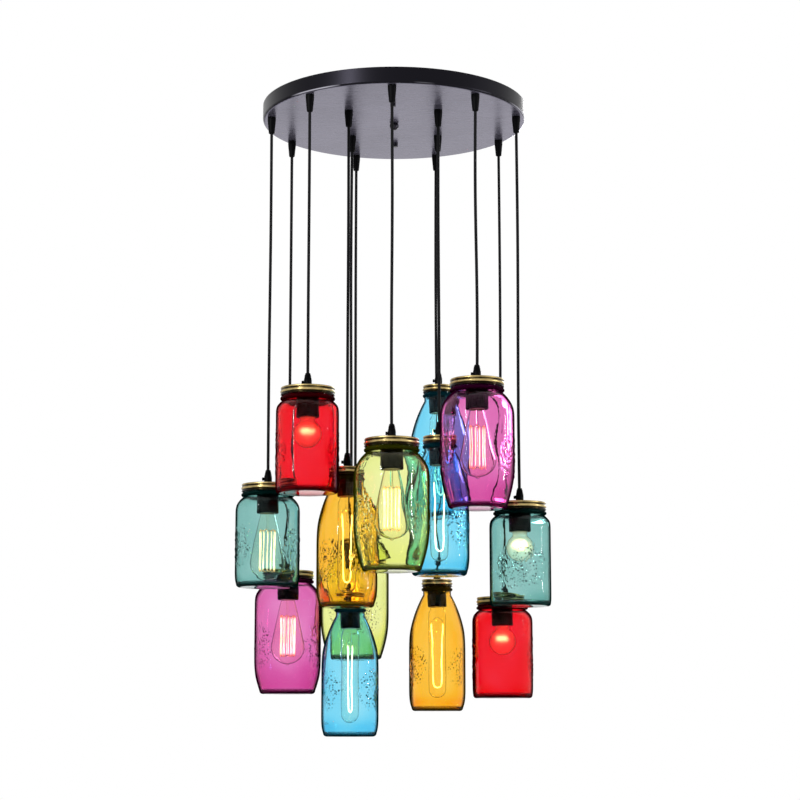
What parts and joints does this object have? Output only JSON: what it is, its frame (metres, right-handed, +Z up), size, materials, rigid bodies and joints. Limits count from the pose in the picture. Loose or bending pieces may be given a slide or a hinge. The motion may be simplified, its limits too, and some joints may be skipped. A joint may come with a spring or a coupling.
{
  "type": "jar cluster chandelier",
  "caption": "Ceiling chandelier of coloured glass jars and bottles hung at stepped heights on black cords under a round dark canopy, each with a brass lid and a filament lamp.",
  "frame": {"origin": "on the ceiling, at the centre of the crossbar's top face", "axes": "+Z up into the ceiling, -Y to the front"},
  "size_m": [0.519, 0.5292, 1.067],
  "materials": {
    "canopy_metal": "dark satin paint, brushed underside",
    "steel": "zinc plated",
    "black_plastic": "matt black",
    "terminal_plastic": "moulded",
    "lid_brass": "antique, slightly dulled",
    "bulb_glass": "clear with a warm tint",
    "red_glass": "transparent red",
    "teal_glass": "transparent teal",
    "amber_glass": "transparent amber",
    "green_glass": "transparent green",
    "blue_glass": "transparent light blue",
    "magenta_glass": "transparent magenta"
  },
  "bodies": {
    "canopy": {"canopy_pan": "canopy_metal", "mounting_crossbar": "steel", "hanger_studs": "steel", "ball_nut": "canopy_metal", "thumb_nuts": "canopy_metal", "canopy_cord_grips": "black_plastic", "terminal_strips": "terminal_plastic", "cord_tails": "black_plastic"},
    "green_front": {"cord_set_green_front": "black_plastic", "lid_green_front": "lid_brass", "bulb_green_front": "bulb_glass"},
    "green_front_jar": {"jar_green_front": "green_glass"},
    "magenta_right": {"cord_set_magenta_right": "black_plastic", "lid_magenta_right": "lid_brass", "bulb_magenta_right": "bulb_glass"},
    "magenta_right_jar": {"jar_magenta_right": "magenta_glass"},
    "teal_right": {"cord_set_teal_right": "black_plastic", "lid_teal_right": "lid_brass", "bulb_teal_right": "bulb_glass"},
    "teal_right_jar": {"jar_teal_right": "teal_glass"},
    "red_right": {"cord_set_red_right": "black_plastic", "lid_red_right": "lid_brass", "bulb_red_right": "bulb_glass"},
    "red_right_jar": {"jar_red_right": "red_glass"},
    "amber_back": {"cord_set_amber_back": "black_plastic", "lid_amber_back": "lid_brass", "bulb_amber_back": "bulb_glass"},
    "amber_back_jar": {"jar_amber_back": "amber_glass"},
    "green_back": {"cord_set_green_back": "black_plastic", "lid_green_back": "lid_brass", "bulb_green_back": "bulb_glass"},
    "green_back_jar": {"jar_green_back": "green_glass"},
    "magenta_left": {"cord_set_magenta_left": "black_plastic", "lid_magenta_left": "lid_brass", "bulb_magenta_left": "bulb_glass"},
    "magenta_left_jar": {"jar_magenta_left": "magenta_glass"},
    "teal_left": {"cord_set_teal_left": "black_plastic", "lid_teal_left": "lid_brass", "bulb_teal_left": "bulb_glass"},
    "teal_left_jar": {"jar_teal_left": "teal_glass"},
    "red_left": {"cord_set_red_left": "black_plastic", "lid_red_left": "lid_brass", "bulb_red_left": "bulb_glass"},
    "red_left_jar": {"jar_red_left": "red_glass"},
    "amber_inner": {"cord_set_amber_inner": "black_plastic", "lid_amber_inner": "lid_brass", "bulb_amber_inner": "bulb_glass"},
    "amber_inner_jar": {"jar_amber_inner": "amber_glass"},
    "blue_front": {"cord_set_blue_front": "black_plastic", "lid_blue_front": "lid_brass", "bulb_blue_front": "bulb_glass"},
    "blue_front_jar": {"jar_blue_front": "blue_glass"},
    "blue_back": {"cord_set_blue_back": "black_plastic", "lid_blue_back": "lid_brass", "bulb_blue_back": "bulb_glass"},
    "blue_back_jar": {"jar_blue_back": "blue_glass"},
    "blue_low": {"cord_set_blue_low": "black_plastic", "lid_blue_low": "lid_brass", "bulb_blue_low": "bulb_glass"},
    "blue_low_jar": {"jar_blue_low": "blue_glass"}
  },
  "joints": [
    {"name": "green_front_swing", "type": "hinge", "parent": "canopy", "child": "green_front", "pos_m": [0, -0.211, -0.052], "axis": [-1, 0, 0], "range_deg": [0, 15]},
    {"name": "green_front_jar_unscrew", "type": "hinge", "parent": "green_front", "child": "green_front_jar", "pos_m": [0, -0.211, -0.604], "axis": [0, 0, 1], "range_deg": [0, 360]},
    {"name": "magenta_right_swing", "type": "hinge", "parent": "canopy", "child": "magenta_right", "pos_m": [0.13563, -0.16164, -0.052], "axis": [-0.766, -0.6428, 0], "range_deg": [0, 15]},
    {"name": "magenta_right_jar_unscrew", "type": "hinge", "parent": "magenta_right", "child": "magenta_right_jar", "pos_m": [0.13563, -0.16164, -0.501], "axis": [0, 0, 1], "range_deg": [0, 360]},
    {"name": "teal_right_swing", "type": "hinge", "parent": "canopy", "child": "teal_right", "pos_m": [0.20779, -0.03664, -0.052], "axis": [-0.1736, -0.9848, 0], "range_deg": [0, 15]},
    {"name": "teal_right_jar_unscrew", "type": "hinge", "parent": "teal_right", "child": "teal_right_jar", "pos_m": [0.20779, -0.03664, -0.686], "axis": [0, 0, 1], "range_deg": [0, 360]},
    {"name": "red_right_swing", "type": "hinge", "parent": "canopy", "child": "red_right", "pos_m": [0.18273, 0.1055, -0.052], "axis": [0.5, -0.866, 0], "range_deg": [0, 15]},
    {"name": "red_right_jar_unscrew", "type": "hinge", "parent": "red_right", "child": "red_right_jar", "pos_m": [0.18273, 0.1055, -0.833], "axis": [0, 0, 1], "range_deg": [0, 360]},
    {"name": "amber_back_swing", "type": "hinge", "parent": "canopy", "child": "amber_back", "pos_m": [0.07217, 0.19828, -0.052], "axis": [0.9397, -0.342, 0], "range_deg": [0, 15]},
    {"name": "amber_back_jar_unscrew", "type": "hinge", "parent": "amber_back", "child": "amber_back_jar", "pos_m": [0.07217, 0.19828, -0.796], "axis": [0, 0, 1], "range_deg": [0, 360]},
    {"name": "green_back_swing", "type": "hinge", "parent": "canopy", "child": "green_back", "pos_m": [-0.07217, 0.19828, -0.052], "axis": [0.9397, 0.342, 0], "range_deg": [0, 15]},
    {"name": "green_back_jar_unscrew", "type": "hinge", "parent": "green_back", "child": "green_back_jar", "pos_m": [-0.07217, 0.19828, -0.727], "axis": [0, 0, 1], "range_deg": [0, 360]},
    {"name": "magenta_left_swing", "type": "hinge", "parent": "canopy", "child": "magenta_left", "pos_m": [-0.18273, 0.1055, -0.052], "axis": [0.5, 0.866, 0], "range_deg": [0, 15]},
    {"name": "magenta_left_jar_unscrew", "type": "hinge", "parent": "magenta_left", "child": "magenta_left_jar", "pos_m": [-0.18273, 0.1055, -0.788], "axis": [0, 0, 1], "range_deg": [0, 360]},
    {"name": "teal_left_swing", "type": "hinge", "parent": "canopy", "child": "teal_left", "pos_m": [-0.20779, -0.03664, -0.052], "axis": [-0.1736, 0.9848, 0], "range_deg": [0, 15]},
    {"name": "teal_left_jar_unscrew", "type": "hinge", "parent": "teal_left", "child": "teal_left_jar", "pos_m": [-0.20779, -0.03664, -0.655], "axis": [0, 0, 1], "range_deg": [0, 360]},
    {"name": "red_left_swing", "type": "hinge", "parent": "canopy", "child": "red_left", "pos_m": [-0.13563, -0.16164, -0.052], "axis": [-0.766, 0.6428, 0], "range_deg": [0, 15]},
    {"name": "red_left_jar_unscrew", "type": "hinge", "parent": "red_left", "child": "red_left_jar", "pos_m": [-0.13563, -0.16164, -0.514], "axis": [0, 0, 1], "range_deg": [0, 360]},
    {"name": "amber_inner_swing", "type": "hinge", "parent": "canopy", "child": "amber_inner", "pos_m": [-0.07517, -0.07517, -0.052], "axis": [-0.7071, 0.7071, 0], "range_deg": [-2.5, 0]},
    {"name": "amber_inner_jar_unscrew", "type": "hinge", "parent": "amber_inner", "child": "amber_inner_jar", "pos_m": [-0.07517, -0.07517, -0.632], "axis": [0, 0, 1], "range_deg": [0, 360]},
    {"name": "blue_front_swing", "type": "hinge", "parent": "canopy", "child": "blue_front", "pos_m": [0.07517, -0.07517, -0.052], "axis": [-0.7071, -0.7071, 0], "range_deg": [-2.5, 0]},
    {"name": "blue_front_jar_unscrew", "type": "hinge", "parent": "blue_front", "child": "blue_front_jar", "pos_m": [0.07517, -0.07517, -0.581], "axis": [0, 0, 1], "range_deg": [0, 360]},
    {"name": "blue_back_swing", "type": "hinge", "parent": "canopy", "child": "blue_back", "pos_m": [0.07517, 0.07517, -0.052], "axis": [0.7071, -0.7071, 0], "range_deg": [-2.5, 0]},
    {"name": "blue_back_jar_unscrew", "type": "hinge", "parent": "blue_back", "child": "blue_back_jar", "pos_m": [0.07517, 0.07517, -0.472], "axis": [0, 0, 1], "range_deg": [0, 360]},
    {"name": "blue_low_swing", "type": "hinge", "parent": "canopy", "child": "blue_low", "pos_m": [-0.07517, 0.07517, -0.052], "axis": [0.7071, 0.7071, 0], "range_deg": [-2.5, 0]},
    {"name": "blue_low_jar_unscrew", "type": "hinge", "parent": "blue_low", "child": "blue_low_jar", "pos_m": [-0.07517, 0.07517, -0.839], "axis": [0, 0, 1], "range_deg": [0, 360]}
  ]
}
